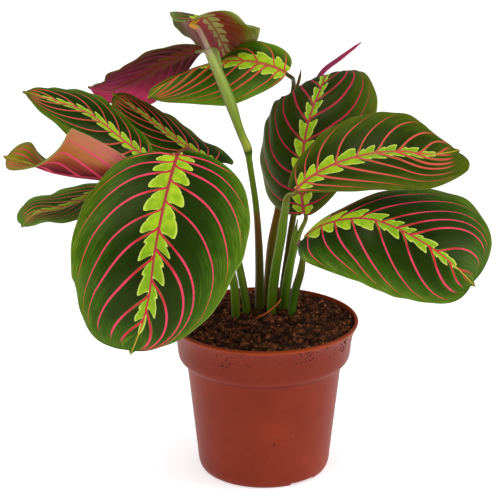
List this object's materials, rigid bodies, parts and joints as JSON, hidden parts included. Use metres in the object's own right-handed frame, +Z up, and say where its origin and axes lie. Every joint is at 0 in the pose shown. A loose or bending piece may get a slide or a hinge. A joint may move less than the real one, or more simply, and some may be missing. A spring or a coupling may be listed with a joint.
{
  "type": "potted prayer plant maranta",
  "caption": "Prayer plant with red-veined, dark green oval leaves on slender stems, in peat in a round tapered plastic nursery pot with a rim band.",
  "frame": {"origin": "middle of the pot's base, on the surface the pot stands on", "axes": "+Z up, -Y towards the plant's front, +X to the viewer's right"},
  "size_m": [0.2933, 0.1709, 0.2985],
  "materials": {
    "pot": "satin",
    "soil": "matte",
    "leaf_green": "satin",
    "leaf_rose": "satin",
    "stem_green": "satin",
    "stem_brown": "satin"
  },
  "bodies": {
    "root": {"pot": "pot", "soil": "soil", "leaf_front": "leaf_green", "leaf_right_near": "leaf_green", "leaf_right_broad": "leaf_green", "leaf_right_low": "leaf_green", "leaf_middle": "leaf_green", "leaf_left": "leaf_green", "leaf_left_back": "leaf_green", "leaf_left_low": "leaf_green", "leaf_top": "leaf_rose", "leaf_back_left": "leaf_rose", "leaf_left_curled": "leaf_rose", "leaf_rolled": "leaf_rose", "stem_right_near": "stem_green", "stem_right_broad": "stem_green", "stem_right_low": "stem_green", "stem_left_back": "stem_green", "stem_left_front": "stem_green", "stem_rolled": "stem_green", "stem_middle": "stem_brown", "stem_tall": "stem_brown"}
  },
  "joints": []
}
